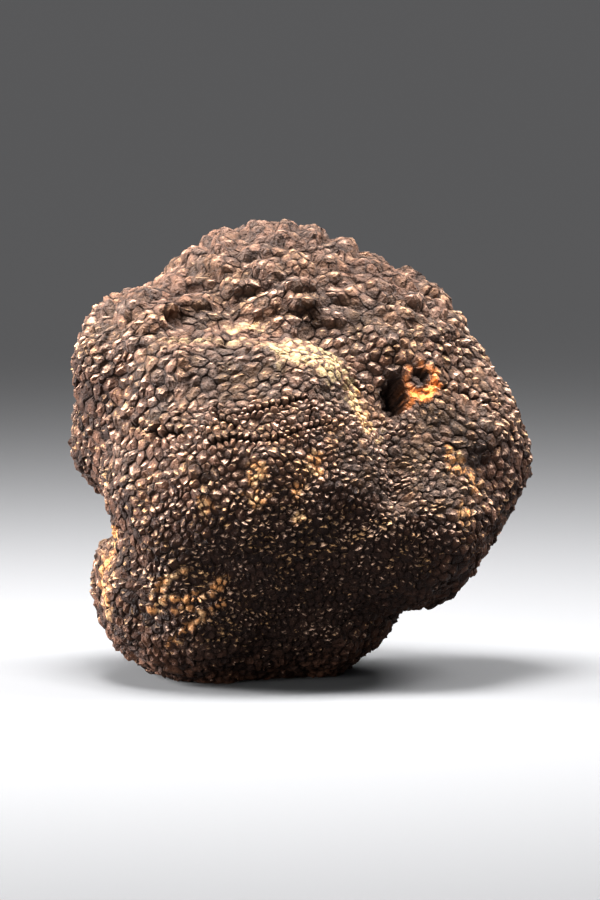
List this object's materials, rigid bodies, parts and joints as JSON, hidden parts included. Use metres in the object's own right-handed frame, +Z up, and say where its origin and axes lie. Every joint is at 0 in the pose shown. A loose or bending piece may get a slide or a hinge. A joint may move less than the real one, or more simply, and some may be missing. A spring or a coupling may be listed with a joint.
{
  "type": "black truffle",
  "caption": "Lobed black truffle with warty dark brown skin, a notch in its side and a gnawed pit, lying on a small flat spot.",
  "frame": {"origin": "on the plane of the flat spot that the truffle rests on, under the middle of its outline", "axes": "+Z up, away from the resting spot; -Y towards the broad front lobe; +X towards the blunt nose"},
  "size_m": [0.0608, 0.0502, 0.0596],
  "materials": {
    "peridium": "matte dark brown warty skin, worn to tan on the tips, with a faint gloss on the facets"
  },
  "bodies": {
    "root": {"truffle": "peridium"}
  },
  "joints": []
}
